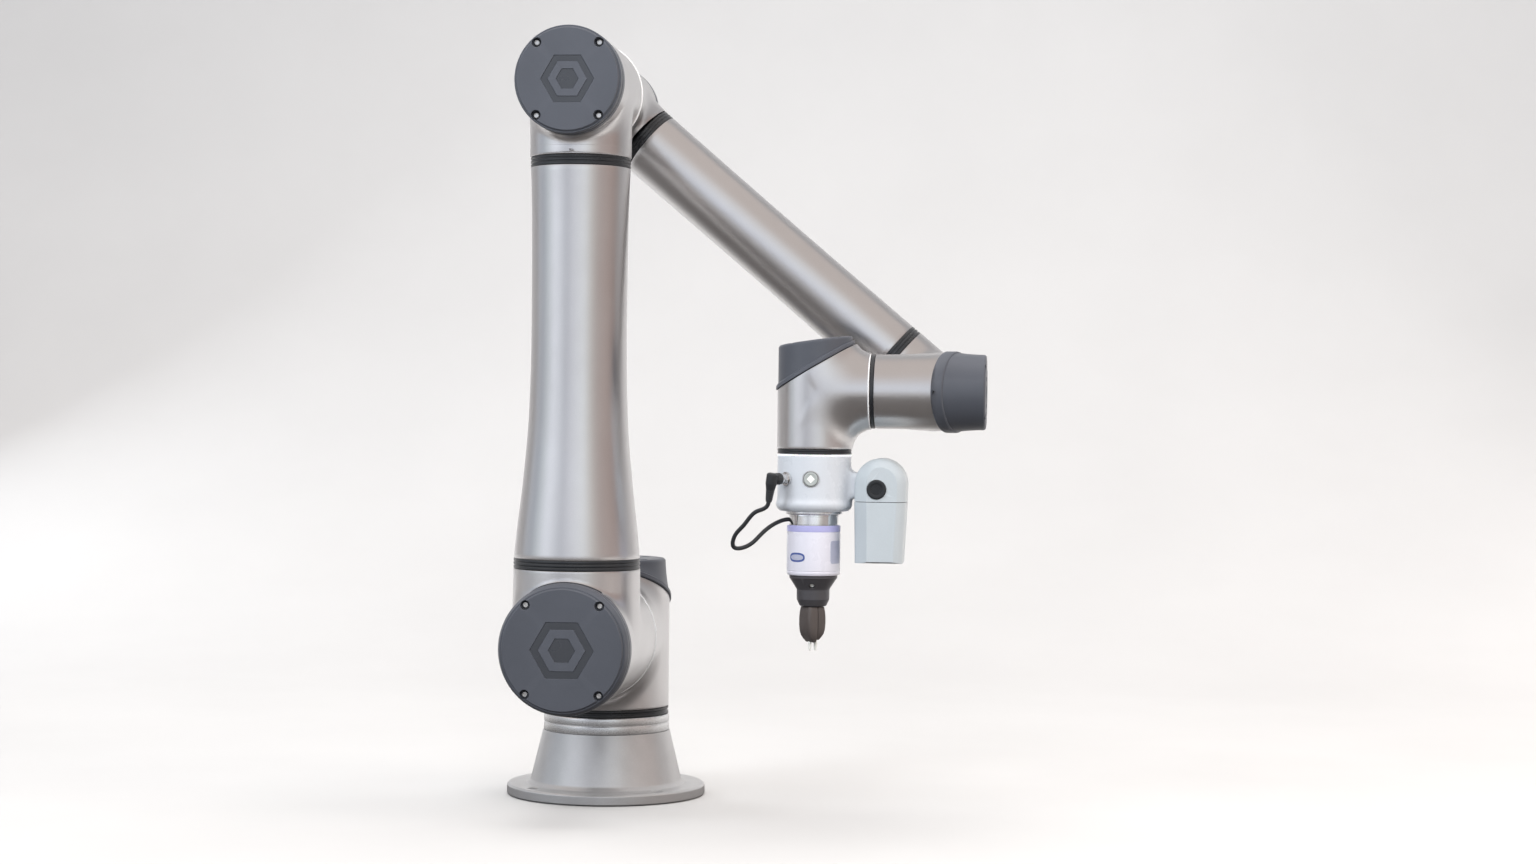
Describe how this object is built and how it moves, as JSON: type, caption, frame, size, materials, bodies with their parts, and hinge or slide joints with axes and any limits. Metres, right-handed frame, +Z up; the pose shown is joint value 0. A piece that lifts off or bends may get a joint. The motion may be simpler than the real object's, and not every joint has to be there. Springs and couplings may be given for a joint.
{
  "type": "collaborative robot arm",
  "caption": "Six-axis collaborative robot arm with round covered joints, slim metallic links, a vision end module and a small two-finger gripper.",
  "frame": {"origin": "centre of the base's bottom face, on the joint 1 axis", "axes": "+Z up along joint 1, +X the side the forearm and tool reach to at rest, -Y the side the upper arm stands on"},
  "size_m": [0.4851, 0.351, 0.7423],
  "materials": {
    "painted_housing": "fine metallic paint, satin",
    "cover": "moulded, fine texture",
    "seal": "satin",
    "base_casting": "cast, painted",
    "trim_ring": "machined, satin",
    "module_shell": "satin moulding",
    "status_light": "diffuser",
    "screw_steel": "zinc plated",
    "gear_steel": "ground",
    "motor_metal": "machined",
    "connector_metal": "nickel plated",
    "plug_plastic": "moulded",
    "cable_jacket": "satin",
    "lens_glass": "coated",
    "button_black": "satin",
    "key_cap": "translucent",
    "gripper_chrome": "polished",
    "gripper_white": "satin",
    "gripper_dark": "anodised look",
    "jaw_dark": "satin"
  },
  "bodies": {
    "base": {"base_housing": "base_casting", "base_trim_ring": "trim_ring", "joint1_seal": "seal", "base_connector": "connector_metal", "joint1_gear_unit": "gear_steel"},
    "turret": {"turret_housing": "painted_housing", "turret_cover": "cover", "turret_cover_screws": "screw_steel", "joint1_motor_unit": "motor_metal", "joint2_gear_unit": "gear_steel"},
    "upper_arm": {"shoulder_housing": "painted_housing", "shoulder_cover": "cover", "upper_arm_lower_band": "seal", "upper_arm_tube": "painted_housing", "upper_arm_upper_band": "seal", "elbow_housing": "painted_housing", "elbow_cover": "cover", "upper_arm_cover_screws": "screw_steel", "joint2_motor_unit": "motor_metal", "joint3_gear_unit": "gear_steel"},
    "forearm": {"forearm_elbow_housing": "painted_housing", "forearm_elbow_cover": "cover", "forearm_bands": "seal", "forearm_tube": "painted_housing", "wrist1_housing": "painted_housing", "wrist1_cover": "cover", "forearm_cover_screws": "screw_steel", "joint3_motor_unit": "motor_metal", "joint4_gear_unit": "gear_steel"},
    "wrist2": {"wrist2_housing": "painted_housing", "wrist2_cover": "cover", "wrist2_cover_screws": "screw_steel", "joint4_motor_unit": "motor_metal", "joint5_seal": "seal", "joint5_gear_unit": "gear_steel"},
    "wrist3": {"wrist3_housing": "painted_housing", "wrist3_cover": "cover", "wrist3_cover_screws": "screw_steel", "joint5_motor_unit": "motor_metal", "joint6_seal": "seal", "joint6_motor_unit": "motor_metal"},
    "tool": {"status_light_ring": "status_light", "end_module_housing": "module_shell", "joint6_gear_unit": "gear_steel", "tool_connector": "connector_metal", "cable_plug": "plug_plastic", "tool_cable": "cable_jacket", "camera_housing": "module_shell", "camera_lower_cover": "module_shell", "camera_lens": "lens_glass", "gripper_adapter": "trim_ring", "gripper_body": "gripper_white", "jaw_guide": "gripper_dark", "gripper_screw": "screw_steel"},
    "free_button": {"freedrive_button": "button_black"},
    "key": {"front_key": "key_cap"},
    "jaw_right": {"finger_right": "jaw_dark", "fingertip_right": "screw_steel"},
    "jaw_left": {"finger_left": "jaw_dark", "fingertip_left": "screw_steel"}
  },
  "joints": [
    {"name": "joint1", "type": "hinge", "parent": "base", "child": "turret", "pos_m": [0, 0, 0.08935], "axis": [0, 0, 1], "range_deg": [-270, 270]},
    {"name": "joint2", "type": "hinge", "parent": "turret", "child": "upper_arm", "pos_m": [0, -0.176, 0.165], "axis": [0, 1, 0], "range_deg": [-180, 180], "stiffness_Nm_per_rad": 5, "springref_deg": -129.16},
    {"name": "joint3", "type": "hinge", "parent": "upper_arm", "child": "forearm", "pos_m": [0, -0.03, 0.692], "axis": [0, 1, 0], "range_deg": [-275, 5], "stiffness_Nm_per_rad": 5, "springref_deg": -129.16},
    {"name": "joint4", "type": "hinge", "parent": "forearm", "child": "wrist2", "pos_m": [0.33306, -0.152, 0.40754], "axis": [0, 1, 0], "range_deg": [-319.5, 40.5], "stiffness_Nm_per_rad": 2, "springref_deg": 50.39},
    {"name": "joint5", "type": "hinge", "parent": "wrist2", "child": "wrist3", "pos_m": [0.22306, -0.152, 0.40754], "axis": [1, 0, 0], "range_deg": [-150, 45]},
    {"name": "joint6", "type": "hinge", "parent": "wrist3", "child": "tool", "pos_m": [0.22306, -0.152, 0.34754], "axis": [0, 0, 1], "range_deg": [-270, 270]},
    {"name": "freedrive_press", "type": "slide", "parent": "tool", "child": "free_button", "axis": [0, 1, 0], "range_m": [0, 0.001]},
    {"name": "key_press", "type": "slide", "parent": "tool", "child": "key", "axis": [0, 1, 0], "range_m": [0, 0.0012]},
    {"name": "jaw_right_slide", "type": "slide", "parent": "tool", "child": "jaw_right", "axis": [0.8192, 0.5736, 0], "range_m": [-0.0004, 0.003]},
    {"name": "jaw_left_slide", "type": "slide", "parent": "tool", "child": "jaw_left", "axis": [0.8192, 0.5736, 0], "range_m": [-0.003, 0.0004]}
  ],
  "couplings": [
    {"joint": "jaw_left_slide", "follows": "jaw_right_slide", "ratio": -1}
  ]
}
